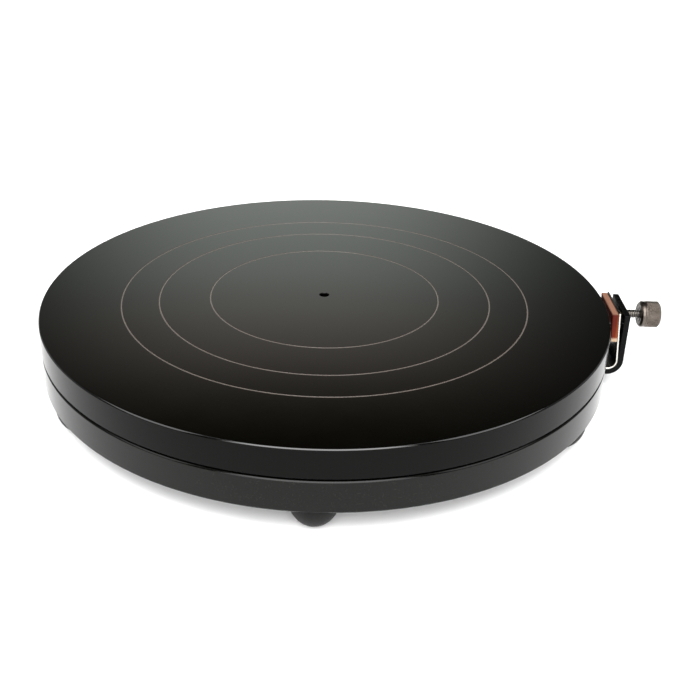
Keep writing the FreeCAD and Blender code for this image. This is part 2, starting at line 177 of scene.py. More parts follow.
def sun(name, direction, strength, angle):
    l = bpy.data.lights.new(name, "SUN")
    l.energy = strength
    l.angle = math.radians(angle)
    o = bpy.data.objects.new(name, l)
    o.rotation_euler = Vector(direction).to_track_quat("-Z", "Y").to_euler()
    scene.collection.objects.link(o)


# even light over the whole floor: a wide soft one from above, and one from behind the camera
sun("overhead_diffuser", (0.0, 0.36, -1.0), 1.9, 50)
sun("front_diffuser", (0.0, 0.82, -0.57), 5.6, 68)


# =====================================================================
# Node helpers
# =====================================================================
class Mat:
    """A material under construction: one Principled shader, with helpers for what drives it."""

    def __init__(self, name):
        self.m = bpy.data.materials.new(name)
        self.m.use_nodes = True
        self.nt = self.m.node_tree
        self.p = self.nt.nodes["Principled BSDF"]
        self.tc = self.nt.nodes.new("ShaderNodeTexCoord")

    def new(self, kind, **inputs):
        n = self.nt.nodes.new(kind)
        for k, v in inputs.items():
            if isinstance(v, bpy.types.NodeSocket):
                self.nt.links.new(v, n.inputs[k])
            else:
                n.inputs[k].default_value = v
        return n

    def link(self, a, b):
        self.nt.links.new(a, b)

    def obj(self, scale=(1, 1, 1)):
        n = self.nt.nodes.new("ShaderNodeMapping")
        self.link(self.tc.outputs["Object"], n.inputs["Vector"])
        n.inputs["Scale"].default_value = scale
        return n.outputs[0]

    def noise(self, scale, detail=4.0, rough=0.5, vec=None, distortion=0.0):
        n = self.nt.nodes.new("ShaderNodeTexNoise")
        self.link(vec or self.tc.outputs["Object"], n.inputs["Vector"])
        n.inputs["Scale"].default_value = scale
        n.inputs["Detail"].default_value = detail
        n.inputs["Roughness"].default_value = rough
        n.inputs["Distortion"].default_value = distortion
        return n.outputs["Fac"] if "Fac" in n.outputs else n.outputs[0]

    def voronoi(self, scale, vec=None, feature="F1", randomness=1.0):
        n = self.nt.nodes.new("ShaderNodeTexVoronoi")
        n.feature = feature
        self.link(vec or self.tc.outputs["Object"], n.inputs["Vector"])
        n.inputs["Scale"].default_value = scale
        n.inputs["Randomness"].default_value = randomness
        return n.outputs["Distance"]

    def math(self, op, a, b=0.0, c=None, clamp=False):
        n = self.nt.nodes.new("ShaderNodeMath")
        n.operation = op
        n.use_clamp = clamp
        for i, v in enumerate((a, b) if c is None else (a, b, c)):
            if isinstance(v, bpy.types.NodeSocket):
                self.link(v, n.inputs[i])
            else:
                n.inputs[i].default_value = v
        return n.outputs[0]

    def range(self, v, a, b, c, d, smooth=False):
        n = self.nt.nodes.new("ShaderNodeMapRange")
        if smooth:
            n.interpolation_type = "SMOOTHSTEP"
        self.link(v, n.inputs["Value"])
        for k, x in zip(("From Min", "From Max", "To Min", "To Max"), (a, b, c, d)):
            n.inputs[k].default_value = x
        return n.outputs[0]

    def mix(self, fac, a, b):
        n = self.nt.nodes.new("ShaderNodeMix")
        n.data_type = "RGBA"
        f, ca, cb = n.inputs[0], n.inputs[6], n.inputs[7]
        for s, v in ((f, fac), (ca, a), (cb, b)):
            if isinstance(v, bpy.types.NodeSocket):
                self.link(v, s)
            elif s is f:
                s.default_value = v
            else:
                s.default_value = (*v, 1)
        return n.outputs[2]

    def mixf(self, fac, a, b):
        n = self.nt.nodes.new("ShaderNodeMix")
        n.data_type = "FLOAT"
        for s, v in ((n.inputs[0], fac), (n.inputs[2], a), (n.inputs[3], b)):
            if isinstance(v, bpy.types.NodeSocket):
                self.link(v, s)
            else:
                s.default_value = v
        return n.outputs[0]

    def xyz(self, vec=None):
        n = self.nt.nodes.new("ShaderNodeSeparateXYZ")
        self.link(vec or self.tc.outputs["Object"], n.inputs[0])
        return n.outputs[0], n.outputs[1], n.outputs[2]

    def radius(self):
        x, y, z = self.xyz()
        return self.math("SQRT", self.math("ADD", self.math("MULTIPLY", x, x), self.math("MULTIPLY", y, y)))

    def normal_z(self):
        g = self.nt.nodes.new("ShaderNodeTexCoord")
        n = self.nt.nodes.new("ShaderNodeSeparateXYZ")
        self.link(g.outputs["Normal"], n.inputs[0])
        return n.outputs[2]

    def bump(self, height, distance, strength=1.0, normal=None):
        n = self.nt.nodes.new("ShaderNodeBump")
        self.link(height, n.inputs["Height"])
        n.inputs["Distance"].default_value = distance
        n.inputs["Strength"].default_value = strength
        if normal is not None:
            self.link(normal, n.inputs["Normal"])
        return n.outputs[0]

    def colour(self, v):
        if isinstance(v, bpy.types.NodeSocket):
            self.link(v, self.p.inputs["Base Color"])
        else:
            self.p.inputs["Base Color"].default_value = (*v, 1)

    def rough(self, v):
        if isinstance(v, bpy.types.NodeSocket):
            self.link(v, self.p.inputs["Roughness"])
        else:
            self.p.inputs["Roughness"].default_value = v

    def set(self, **kw):
        for k, v in kw.items():
            self.p.inputs[k.replace("_", " ")].default_value = v

    def normal(self, v):
        self.link(v, self.p.inputs["Normal"])


# =====================================================================
# Materials
# =====================================================================
def line_vector(a, r, z, per_m):
    """Coordinates that vary only with radius and height, so that noise on them is turned lines."""
    n = a.nt.nodes.new("ShaderNodeCombineXYZ")
    a.link(a.math("MULTIPLY", r, per_m), n.inputs[0])
    a.link(a.math("MULTIPLY", z, per_m), n.inputs[1])
    return n.outputs[0]


def mat_platter():
    """Black anodised aluminium, fine turned and polished; the three centring rings are cut a little brighter."""
    a = Mat("platter_anodised")
    r = a.radius()
    x, y, z = a.xyz()
    mask = None
    for ring in (82.6, 119.2, 146.0):
        d = a.math("ABSOLUTE", a.math("SUBTRACT", r, ring * MM))
        m = a.range(d, 0.44 * MM, 0.50 * MM, 1.0, 0.0)
        mask = m if mask is None else a.math("MAXIMUM", mask, m)
    mask = a.math("MULTIPLY", mask, a.range(z, -1.0 * MM, -0.5 * MM, 0.0, 1.0))
    mask = a.math("MULTIPLY", mask, a.range(a.noise(900, 2.0), 0.35, 0.7, 0.7, 1.0))
    tone = a.noise(9.0, 3.0, 0.6)
    black = a.mix(tone, (0.0003, 0.0004, 0.0002), (0.0008, 0.0008, 0.0006))
    a.colour(a.mix(mask, black, (0.120, 0.098, 0.086)))
    turned = a.noise(1.0, 2.0, 0.6, vec=line_vector(a, r, z, 2600))
    smear = a.noise(38.0, 4.0, 0.65)
    rough = a.math("ADD", a.range(smear, 0.3, 0.7, 0.080, 0.100), a.math("MULTIPLY", mask, 0.3))
    a.rough(rough)
    a.normal(a.bump(turned, 0.004 * MM, 0.2))
    a.set(IOR=1.5)
    return a.m


def mat_platter_side():
    """The platter's edge: level turning lines under black anodising."""
    a = Mat("platter_edge_anodised")
    x, y, z = a.xyz()
    r = a.radius()
    lines = a.noise(1.0, 3.0, 0.65, vec=line_vector(a, a.math("MULTIPLY", r, 0.0), z, 1900))
    broad = a.noise(1.0, 2.0, 0.5, vec=line_vector(a, a.math("MULTIPLY", r, 0.0), z, 520))
    wear = a.noise(60, 4.0, 0.6)
    a.colour(a.mix(a.range(lines, 0.35, 0.7, 0.0, 1.0), (0.0003, 0.0003, 0.0002), (0.0012, 0.0012, 0.0009)))
    a.rough(a.math("ADD", a.range(lines, 0.3, 0.7, 0.10, 0.17), a.range(wear, 0.3, 0.7, 0.0, 0.03)))
    a.normal(a.bump(broad, 0.02 * MM, 0.35, a.bump(lines, 0.012 * MM, 0.4)))
    a.set(IOR=1.18)
    return a.m


def mat_base():
    """Smooth black coat with a very fine orange-peel and scattered pale specks."""
    a = Mat("base_powder_coat")
    grain = a.noise(1500, 3.0, 0.6)
    peel = a.noise(360, 3.0, 0.55)
    tone = a.noise(14.0, 3.0)
    speck = a.range(a.noise(950, 2.0), 0.60, 0.70, 0.0, 1.0)
    col = a.mix(tone, (0.0007, 0.0008, 0.0005), (0.0016, 0.0017, 0.0012))
    a.colour(a.mix(a.math("MULTIPLY", speck, 0.5), col, (0.014, 0.014, 0.012)))
    a.rough(a.range(grain, 0.3, 0.7, 0.08, 0.13))
    a.normal(a.bump(peel, 0.02 * MM, 0.45, a.bump(grain, 0.006 * MM, 0.4)))
    a.set(IOR=1.27)
    return a.m


def mat_metal(name, colour, rough=(0.2, 0.35), scale=260, metallic=1.0, stretch=(1, 1, 1), bump=0.01, dirt=0.2):
    a = Mat(name)
    v = a.obj(stretch)
    n = a.noise(scale, 4.0, 0.6, vec=v)
    wide = a.noise(60, 3.0, 0.6)
    dark = tuple(c * (1 - dirt) for c in colour)
    a.colour(a.mix(a.range(wide, 0.35, 0.7, 0.0, 1.0), colour, dark))
    a.rough(a.range(n, 0.3, 0.7, *rough))
    a.normal(a.bump(n, bump * MM, 0.5))
    a.set(Metallic=metallic)
    return a.m


def mat_black_strap():
    """Black oxide on strap steel, rubbed a little brighter here and there."""
    a = Mat("bracket_black_oxide")
    n = a.noise(300, 4.0, 0.6)
    tone = a.noise(90, 4.0, 0.6)
    rub = a.range(a.noise(700, 3.0, 0.7), 0.58, 0.72, 0.0, 0.5)
    col = a.mix(tone, (0.0010, 0.0010, 0.0010), (0.0024, 0.0024, 0.0023))
    a.colour(a.mix(rub, col, (0.010, 0.010, 0.010)))
    a.rough(a.range(n, 0.3, 0.7, 0.22, 0.36))
    a.normal(a.bump(a.noise(1400, 3.0, 0.6), 0.015 * MM, 0.5))
    a.set(IOR=1.16)
    return a.m


def mat_rubber():
    a = Mat("foot_rubber")
    n = a.noise(900, 4.0, 0.6)
    tone = a.noise(55, 3.0, 0.6)
    dust = a.range(a.noise(240, 4.0, 0.7), 0.55, 0.75, 0.0, 0.35)
    col = a.mix(tone, (0.0012, 0.0012, 0.0010), (0.0026, 0.0026, 0.0022))
    a.colour(a.mix(dust, col, (0.012, 0.0115, 0.0105)))
    a.rough(a.range(n, 0.3, 0.7, 0.42, 0.60))
    a.normal(a.bump(n, 0.03 * MM, 0.5))
    a.set(IOR=1.24)
    return a.m


def mat_leather():
    """Thick oak-tanned leather: dusty tan on the cut top edge, deep red-brown ends, pale raw fibres along the bottom;
    the ends carry painted shade, darker on the side next to the platter and more orange towards the leaf.
    """
    a = Mat("pad_leather")
    x, y, z = a.xyz()
    top = a.range(a.normal_z(), 0.45, 0.75, 0.0, 1.0)
    fibre = a.noise(1.0, 4.0, 0.7, vec=a.obj((2600, 900, 900)))
    grain = a.noise(1700, 4.0, 0.65)
    pores = a.voronoi(2300)
    blot = a.noise(230, 4.0, 0.6)
    tan = a.mix(a.range(fibre, 0.3, 0.7, 0.0, 1.0), (0.150, 0.068, 0.042), (0.225, 0.116, 0.078))
    tan = a.mix(a.range(blot, 0.5, 0.75, 0.0, 0.6), tan, (0.105, 0.040, 0.022))
    height = a.range(a.math("ADD", z, a.math("MULTIPLY", a.math("SUBTRACT", blot, 0.5), 6 * MM)), -22 * MM, -4 * MM, 0.0, 1.0)
    deep = a.mix(height, (0.110, 0.011, 0.0015), (0.052, 0.0030, 0.0008))
    deep = a.mix(a.range(grain, 0.3, 0.7, 0.0, 0.6), deep, (0.075, 0.008, 0.0015))
    # painted shade: the ends are mixed darker red towards the platter and more orange towards the leaf, standing in for
    # the shade between pad and platter
    warm = a.range(x, 0.2088, 0.2112, 0.0, 0.85)
    deep = a.mix(warm, deep, (0.230, 0.055, 0.008))
    raw = a.math("ADD", z, a.math("MULTIPLY", a.math("SUBTRACT", fibre, 0.5), 3 * MM))
    raw = a.range(raw, -20.6 * MM, -19.4 * MM, 1.0, 0.0)
    side = a.mix(raw, deep, (0.36, 0.25, 0.165))
    a.colour(a.mix(top, side, tan))
    a.rough(a.range(grain, 0.3, 0.7, 0.62, 0.82))
    h = a.math("ADD", a.math("MULTIPLY", pores, 0.6), a.math("ADD", grain, fibre))
    a.normal(a.bump(h, 0.09 * MM, 0.7))
    a.set(IOR=1.25)
    return a.m


def mat_knob(name, line_scale=0.0):
    """Stainless steel: soft warm grey, with turned rings on the plain faces."""
    a = Mat(name)
    x, y, z = a.xyz()
    n = a.noise(900, 4.0, 0.6)
    wide = a.noise(170, 3.0, 0.6)
    a.colour(a.mix(a.range(wide, 0.35, 0.7, 0.0, 1.0), (0.130, 0.111, 0.096), (0.080, 0.067, 0.057)))
    a.rough(a.range(n, 0.3, 0.7, 0.24, 0.36))
    if line_scale:
        v = a.nt.nodes.new("ShaderNodeCombineXYZ")
        rr = a.math("ADD", z, 9 * MM)
        rad = a.math("SQRT", a.math("ADD", a.math("MULTIPLY", y, y), a.math("MULTIPLY", rr, rr)))
        a.link(a.math("MULTIPLY", rad, line_scale), v.inputs[0])
        a.link(a.math("MULTIPLY", x, line_scale), v.inputs[1])
        a.normal(a.bump(a.noise(1.0, 3.0, 0.6, vec=v.outputs[0]), 0.012 * MM, 0.5))
    else:
        a.normal(a.bump(n, 0.012 * MM, 0.5))
    a.set(Metallic=1.0)
    return a.m


def mat_leaf():
    """Spring strip, metallic: dark broad faces and bright edges, chosen by which way the surface faces."""
    a = Mat("spring_steel")
    g = a.nt.nodes.new("ShaderNodeSeparateXYZ")
    a.link(a.tc.outputs["Normal"], g.inputs[0])
    edge = a.range(a.math("ABSOLUTE", g.outputs[1]), 0.35, 0.75, 0.0, 1.0)
    n = a.noise(500, 4.0, 0.6, vec=a.obj((1, 0.08, 1)))
    face = a.mix(a.range(n, 0.3, 0.7, 0.0, 1.0), (0.055, 0.052, 0.050), (0.090, 0.084, 0.078))
    a.colour(a.mix(edge, face, (0.62, 0.60, 0.56)))
    a.rough(a.range(n, 0.3, 0.7, 0.22, 0.34))
    a.normal(a.bump(n, 0.01 * MM, 0.5))
    a.set(Metallic=1.0)
    return a.m


PLATTER = mat_platter()
PLATTER_SIDE = mat_platter_side()
BASE = mat_base()
BEARING = mat_metal("bearing_steel", (0.70, 0.70, 0.71), (0.10, 0.2), 500, dirt=0.1)
CAGE = mat_metal("cage_brass", (0.66, 0.49, 0.22), (0.22, 0.34), 400)
MACHINED = mat_metal("machined_steel", (0.50, 0.50, 0.51), (0.25, 0.4), 700)
FASTENER = mat_metal("fastener_black_oxide", (0.035, 0.035, 0.036), (0.28, 0.42), 700, metallic=0.6)
COVER = mat_metal("cover_black_paint", (0.018, 0.018, 0.018), (0.35, 0.5), 900, metallic=0.0, bump=0.03)
RUBBER = mat_rubber()
STRAP = mat_black_strap()
SPRING = mat_leaf()
BRASS = mat_metal("tip_brass", (0.72, 0.55, 0.26), (0.2, 0.3), 600)
PLATED = mat_metal("plated_steel", (0.20, 0.185, 0.17), (0.20, 0.32), 700)
KNOB = mat_knob("knob_stainless")
KNOB_FACE = mat_knob("knob_stainless_turned", 3800)
LEATHER = mat_leather()

for node, m in {
    "platter": PLATTER, "base": BASE,
    "thrust_race_upper": BEARING, "thrust_race_lower": BEARING, "thrust_balls": BEARING, "thrust_cage": CAGE,
    "hub_bearing_inner_ring": BEARING, "hub_bearing_outer_ring": BEARING, "hub_bearing_balls": BEARING,
    "hub_bearing_cage": CAGE, "spindle": MACHINED, "spindle_screws": FASTENER, "lock_washer": MACHINED,
    "locknut": MACHINED, "bearing_retainer": MACHINED, "retainer_screws": FASTENER, "hub_cover": COVER,
    "hub_cover_screws": FASTENER, "feet": RUBBER, "foot_washers": MACHINED, "foot_screws": MACHINED,
    "brake_bracket": STRAP, "bracket_screws": FASTENER, "brake_leaf": SPRING, "brake_pad": LEATHER,
    "brake_screw_tip": BRASS, "brake_screw": PLATED, "brake_knob": KNOB,
}.items():
    mesh = NODES[node].data
    mesh.materials.clear()
    mesh.materials.append(m)


# =====================================================================
# Mesh helpers
# =====================================================================
def new_object(name, verts, faces, mats, index=None, sharp=32.0, merge=0.0):
    """A mesh object from points in millimetres, with clean outward normals and sharp corners kept."""
    me = bpy.data.meshes.new(name)
    me.from_pydata([(x * MM, y * MM, z * MM) for x, y, z in verts], [], faces)
    for m in mats:
        me.materials.append(m)
    if index is not None:
        me.polygons.foreach_set("material_index", index)
    bm = bmesh.new()
    bm.from_mesh(me)
    if merge:
        bmesh.ops.remove_doubles(bm, verts=bm.verts, dist=merge)
    bmesh.ops.recalc_face_normals(bm, faces=bm.faces)
    bm.to_mesh(me)
    bm.free()
    me.polygons.foreach_set("use_smooth", [True] * len(me.polygons))
    me.set_sharp_from_angle(angle=math.radians(sharp))
    me.update()
    o = bpy.data.objects.new(name, me)
    scene.collection.objects.link(o)
    return o


def rounded(points, n=4, closed=True):
    """A closed outline with its corners eased: each point is (a, b) or (a, b, easing)."""
    out = []
    count = len(points)
    for i, p in enumerate(points):
        e = p[2] if len(p) > 2 else 0.0
        if e <= 0:
            out.append((p[0], p[1]))
            continue
        p0, p2 = points[i - 1], points[(i + 1) % count]
        d1 = math.hypot(p0[0] - p[0], p0[1] - p[1])
        d2 = math.hypot(p2[0] - p[0], p2[1] - p[1])
        t1, t2 = min(e, d1 * 0.49), min(e, d2 * 0.49)
        a = (p[0] + (p0[0] - p[0]) * t1 / d1, p[1] + (p0[1] - p[1]) * t1 / d1)
        b = (p[0] + (p2[0] - p[0]) * t2 / d2, p[1] + (p2[1] - p[1]) * t2 / d2)
        for k in range(n + 1):
            u = k / n
            out.append(tuple((1 - u) ** 2 * a[j] + 2 * u * (1 - u) * p[j] + u * u * b[j] for j in (0, 1)))
    return out


def supported(outline, d=0.3, longer=1.6):
    """Adds a point close to each end of every long straight run, so that rounding never shades across the flats."""
    out = []
    for i, a in enumerate(outline):
        b = outline[(i + 1) % len(outline)]
        out.append(a)
        run = math.hypot(b[0] - a[0], b[1] - a[1])
        if run > longer:
            for t in (d / run, 1 - d / run):
                out.append((a[0] + (b[0] - a[0]) * t, a[1] + (b[1] - a[1]) * t))
    return out


def lathe_data(outline, n, cx=0.0, cy=0.0, base=0):
    """Quads of a closed (r, z) outline turned about the vertical through (cx, cy)."""
    verts, faces = [], []
    m = len(outline)
    for k in range(n):
        a = 2 * math.pi * k / n
        c, s = math.cos(a), math.sin(a)
        verts += [(cx + r * c, cy + r * s, z) for r, z in outline]
    for k in range(n):
        k2 = (k + 1) % n
        for i in range(m):
            i2 = (i + 1) % m
            faces.append((base + k * m + i, base + k2 * m + i, base + k2 * m + i2, base + k * m + i2))
    return verts, faces


def x_lathe(name, rings, n, mats, axis_z, index=None, sharp=32.0):
    """A turned piece about the line Y = 0, Z = axis_z: rings are (x, r) with r a number or a function of the angle."""
    verts, faces, idx = [], [], []
    for x, r in rings:
        for k in range(n):
            a = 2 * math.pi * k / n
            rr = r(a) if callable(r) else r
            rr = max(rr, 1e-5)
            verts.append((x, -rr * math.sin(a), axis_z + rr * math.cos(a)))
    m = len(rings)
    for i in range(m):
        i2 = (i + 1) % m
        if rings[i][1] == 0 and rings[i2][1] == 0:
            continue
        for k in range(n):
            k2 = (k + 1) % n
            faces.append((i * n + k, i * n + k2, i2 * n + k2, i2 * n + k))
            idx.append(index[i] if index else 0)
    return new_object(name, verts, faces, mats, idx, sharp, merge=4e-8)


def sweep(name, path, width, thick, ease, mats, cap=0.3, n_across=1):
    """A flat strip along a path of (x, z, nx, nz) stations; nx, nz is the strip's outward normal. Edges and ends are eased."""
    hw, ht = width / 2, thick / 2

    def section(inset):
        w, t = hw - inset, ht - inset
        e = max(ease - inset, 0.05)
        pts = []
        for sy, st, a0 in ((1, 1, 0), (-1, 1, 90), (-1, -1, 180), (1, -1, 270)):
            for k in range(4):
                a = math.radians(a0 + 90 * k / 3)
                pts.append((sy * (w - e) + e * math.cos(a), st * (t - e) + e * math.sin(a)))
            if st == sy:            # going across the wide face
                pts.append((sy * (w - e - 0.25), st * t))
                pts.append((-sy * (w - e - 0.25), st * t))
        return pts

    def tangent(i):
        a, b = path[max(i - 1, 0)], path[min(i + 1, len(path) - 1)]
        d = math.hypot(b[0] - a[0], b[1] - a[1])
        return (b[0] - a[0]) / d, (b[1] - a[1]) / d

    rings = []
    for k in range(4):
        a = math.radians(30 * k)
        rings.append((0, cap * (1 - math.cos(a)), cap * (1 - math.sin(a))))
    body = [(i, None, 0.0) for i in range(1, len(path) - 1)]
    ends = [(len(path) - 1, r[1], r[2]) for r in reversed(rings)]
    order = rings + body + ends
    verts, faces = [], []
    m = None
    for i, inward, inset in order:
        x, z, nx, nz = path[i]
        tx, tz = tangent(i)
        if inward is not None:
            sgn = 1 if i == 0 else -1
            x, z = x + sgn * tx * inward, z + sgn * tz * inward
        sec = section(inset)
        m = len(sec)
        verts += [(x + b * nx, a, z + b * nz) for a, b in sec]
    for i in range(len(order) - 1):
        for k in range(m):
            k2 = (k + 1) % m
            faces.append((i * m + k, i * m + k2, (i + 1) * m + k2, (i + 1) * m + k))
    faces.append(tuple(range(m)))
    faces.append(tuple((len(order) - 1) * m + k for k in range(m)))
    return new_object(name, verts, faces, mats, sharp=40.0)


def strap_path(radius, end_deg, x_end, z_top, straight=14, arc=18):
    """Stations of a strip's middle line: flange towards -X, quarter bend about the bend's centre, leaning run to z_top."""
    a1 = math.radians(end_deg)
    pts = []
    z_low = BEND_Z - radius
    for k in range(9):
        pts.append((x_end + (BEND_X - x_end) * k / 9, z_low, 0.0, -1.0))
    for k in range(arc + 1):
        a = -math.pi / 2 + (a1 + math.pi / 2) * k / arc
        pts.append((BEND_X + radius * math.cos(a), BEND_Z + radius * math.sin(a), math.cos(a), math.sin(a)))
    x0, z0 = pts[-1][0], pts[-1][1]
    run = (z_top - z0) / math.cos(a1)
    for k in range(1, straight + 1):
        d = run * k / straight
        pts.append((x0 - d * math.sin(a1), z0 + d * math.cos(a1), math.cos(a1), math.sin(a1)))
    return pts


def cut(o, cutters):
    """Cuts closed meshes out of an object and keeps the result as its mesh."""
    for c in cutters:
        mod = o.modifiers.new("cut", "BOOLEAN")
        mod.operation = "DIFFERENCE"
        mod.solver = "EXACT"
        mod.object = c
    dg = bpy.context.evaluated_depsgraph_get()
    me = bpy.data.meshes.new_from_object(o.evaluated_get(dg))
    o.modifiers.clear()
    o.data = me
    for c in cutters:
        bpy.data.objects.remove(c)


# =====================================================================
# The two discs
# =====================================================================
R = 203.2


def make_platter():
    o = [(3.5, 0.0, 0.3)]
    for ring in (82.6, 119.2, 146.0):
        o += [(ring - 0.45, 0.0, 0.06), (ring - 0.40, -0.2), (ring + 0.40, -0.2), (ring + 0.45, 0.0, 0.06)]
    o += [(R - 0.8, 0.0, 0.18), (R, -0.8, 0.25), (R, -10.0), (R, -19.9, 0.15), (R - 0.4, -20.3, 0.15),
          (80.02, -20.3), (80.02, -15.3), (59.98, -15.3), (59.98, -20.3),
          (30.05, -20.3), (30.05, -16.3), (3.5, -16.3), (3.5, -8.0)]
    outline = supported(rounded(o))
    verts, faces = lathe_data(outline, 720)
    m = len(outline)
    idx = []
    for k in range(720):
        for i in range(m):
            (r1, z1), (r2, z2) = outline[i], outline[(i + 1) % m]
            idx.append(1 if min(r1, r2) > R - 0.5 and max(z1, z2) < -0.5 else 0)
    p = new_object("platter_disc", verts, faces, [PLATTER, PLATTER_SIDE], idx)
    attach(p, "platter")
    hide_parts("platter")


def make_base():
    o = [(18.52, -32.6), (18.52, -23.6), (28.05, -23.6), (28.05, -21.9), (59.98, -21.9), (59.98, -26.9),
         (80.02, -26.9), (80.02, -21.9), (R - 0.8, -21.9, 0.15), (R, -22.7, 0.25), (R, -33.0), (R, -43.05, 0.3),
         (R - 0.9, -43.95, 0.2), (30.1, -43.95), (30.1, -42.75), (16.8, -42.75), (16.8, -32.6)]
    verts, faces = lathe_data(supported(rounded(o)), 720)
    p = new_object("base_disc", verts, faces, [BASE])
    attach(p, "base")
    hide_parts("base")


# =====================================================================
# Rubber feet
# =====================================================================
def make_feet():
    fr, flat, h, top = 15.9, 5.6, 17.65, -43.95
    a0 = math.asin(flat / fr)
    dome = []
    for k in range(1, 22):
        a = (math.pi / 2 - a0) * k / 22
        dome.append((fr * math.cos(a), top - h * math.sin(a) / math.cos(a0)))
    o = [(2.05, top), (14.6, top, 0.2), (15.55, top - 0.55, 0.35), (fr - 0.12, top - 1.1, 0.3)]
    o += [q for q in dome if q[1] < top - 1.9]
    o += [(flat, top - h, 0.7), (4.5, top - h, 0.3), (3.9, top - h + 0.6, 0.3), (3.9, top - h + 8.0), (2.05, top - h + 8.0)]
    outline = supported(rounded(o), 0.25, 1.5)
    verts, faces = [], []
    for i in range(6):
        a = math.radians(29.6 + 60 * i)
        v, f = lathe_data(outline, 96, 186.3 * math.cos(a), 186.3 * math.sin(a), len(verts))
        verts += v
        faces += f
    p = new_object("rubber_feet", verts, faces, [RUBBER], sharp=42.0)
    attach(p, "base")
    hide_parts("feet")


# =====================================================================
# Brake: strap, leaf, leather pad, thumbscrew
# =====================================================================
WIDTH = 38.1
BEND_X, BEND_Z = 207.4, -38.55
AXIS_Z = -9.0


def make_strap():
    path = strap_path(8.7, 0.0, 172.0, -2.1, straight=6, arc=24)
    p = sweep("brake_strap", path, WIDTH, 4.2, 0.45, [STRAP], cap=0.45)
    holes = []
    n = 64
    v = [(x, 3.225 * math.cos(2 * math.pi * k / n), AXIS_Z + 3.225 * math.sin(2 * math.pi * k / n)) for x in (212.0, 220.0) for k in range(n)]
    f = [(k, (k + 1) % n, n + (k + 1) % n, n + k) for k in range(n)] + [tuple(range(n)), tuple(range(n, 2 * n))]
    holes.append(new_object("hole_screw", v, f, []))
    # a small countersink where the thumbscrew enters
    v = [(x, r * math.cos(2 * math.pi * k / n), AXIS_Z + r * math.sin(2 * math.pi * k / n)) for x, r in ((217.8, 3.2), (218.4, 3.85)) for k in range(n)]
    holes.append(new_object("hole_sink", v, f, []))
    cut(p, holes)
    p.data.polygons.foreach_set("use_smooth", [True] * len(p.data.polygons))
    p.data.set_sharp_from_angle(angle=math.radians(38))
    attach(p, "base")
    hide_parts("brake_bracket")


def make_leaf():
    path = strap_path(6.0, 4.6, 172.0, -0.45, straight=30, arc=26)
    p = sweep("brake_spring_leaf", path, WIDTH, 1.2, 0.28, [SPRING], cap=0.25)
    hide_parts("brake_leaf")
    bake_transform(p)


def make_pad():
    """A block of thick leather: square cut edges gone slightly soft, crowned working face, raw fibres at its lower edge."""
    lean = math.tan(math.radians(4.6))
    a = math.radians(4.6)
    root_x, root_z = BEND_X + 5.4 * math.cos(a), BEND_Z + 5.4 * math.sin(a)
    thick, z0, z1 = 4.6 / math.cos(a), -22.9, -1.1
    nu, nv, nw = 12, 84, 50
    rng = np.random.default_rng(7)
    # smooth random fields on a coarse lattice
    fine = rng.normal(size=(40, 130, 90))

    def field(x, y, z, cell):
        gx, gy, gz = x / cell + 5, (y + 20) / cell + 2, (z + 24) / cell + 2
        i, j, k = int(gx), int(gy), int(gz)
        fx, fy, fz = gx - i, gy - j, gz - k
        fx, fy, fz = (t * t * (3 - 2 * t) for t in (fx, fy, fz))
        s = 0.0
        for di in (0, 1):
            for dj in (0, 1):
                for dk in (0, 1):
                    wgt = (fx if di else 1 - fx) * (fy if dj else 1 - fy) * (fz if dk else 1 - fz)
                    s += wgt * fine[(i + di) % 40, (j + dj) % 130, (k + dk) % 90]
        return s

    ids, verts, faces = {}, [], []

    def point(i, j, k):
        key = (i, j, k)
        if key in ids:
            return ids[key]
        # u through the thickness (0 at the leaf), v across, w up
        u, v, w = thick * i / nu, -WIDTH / 2 + WIDTH * j / nv, z0 + (z1 - z0) * k / nw
        du, dv, dw = min(u, thick - u), min(v + WIDTH / 2, WIDTH / 2 - v), min(w - z0, z1 - w)
        # eased edges: pull in where two faces meet
        e = 0.55
        q = [max(0.0, 1 - d / e) for d in (du, dv, dw)]
        in_u = 0.34 * q[0] * max(q[1], q[2]) ** 1.5 if du < 1e-6 else 0.0
        in_v = 0.42 * max(q[0], q[2]) ** 1.5 if dv < 1e-6 else 0.0
        in_w = 0.42 * max(q[0], q[1]) ** 1.5 if dw < 1e-6 else 0.0
        nzy = field(u, v, w, 0.9)
        rough = field(u + 7, v, w, 0.45)
        if dv < 1e-6:
            in_v += 0.06 + 0.035 * nzy + 0.03 * rough
        if dw < 1e-6:
            in_w += 0.06 + 0.03 * nzy + (0.06 * rough if w < -10 else 0.02 * rough)
        if du < 1e-6 and u > 1:
            # the working face is worn: lower towards its upper edge's middle
            in_u += 0.05 + 0.02 * nzy + 0.10 * (v / (WIDTH / 2)) ** 2
        su = 1 if u < thick / 2 else -1
        sv = 1 if v < 0 else -1
        sw = 1 if w < (z0 + z1) / 2 else -1
        u2 = u + (su * in_u if du < 1e-6 else 0)
        v2 = v + (sv * in_v if dv < 1e-6 else 0)
        w2 = w + (sw * in_w if dw < 1e-6 else 0)
        x = root_x - (w2 - root_z) * lean - 0.02 - u2
        ids[key] = len(verts)
        verts.append((x, v2, w2))
        return ids[key]

    for i in (0, nu):
        for j in range(nv):
            for k in range(nw):
                faces.append((point(i, j, k), point(i, j + 1, k), point(i, j + 1, k + 1), point(i, j, k + 1)))
    for j in (0, nv):
        for i in range(nu):
            for k in range(nw):
                faces.append((point(i, j, k), point(i + 1, j, k), point(i + 1, j, k + 1), point(i, j, k + 1)))
    for k in (0, nw):
        for i in range(nu):
            for j in range(nv):
                faces.append((point(i, j, k), point(i + 1, j, k), point(i + 1, j + 1, k), point(i, j + 1, k)))
    p = new_object("leather_pad", verts, faces, [LEATHER], sharp=70.0)
    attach(p, "brake_pad_arm")
    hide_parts("brake_pad")


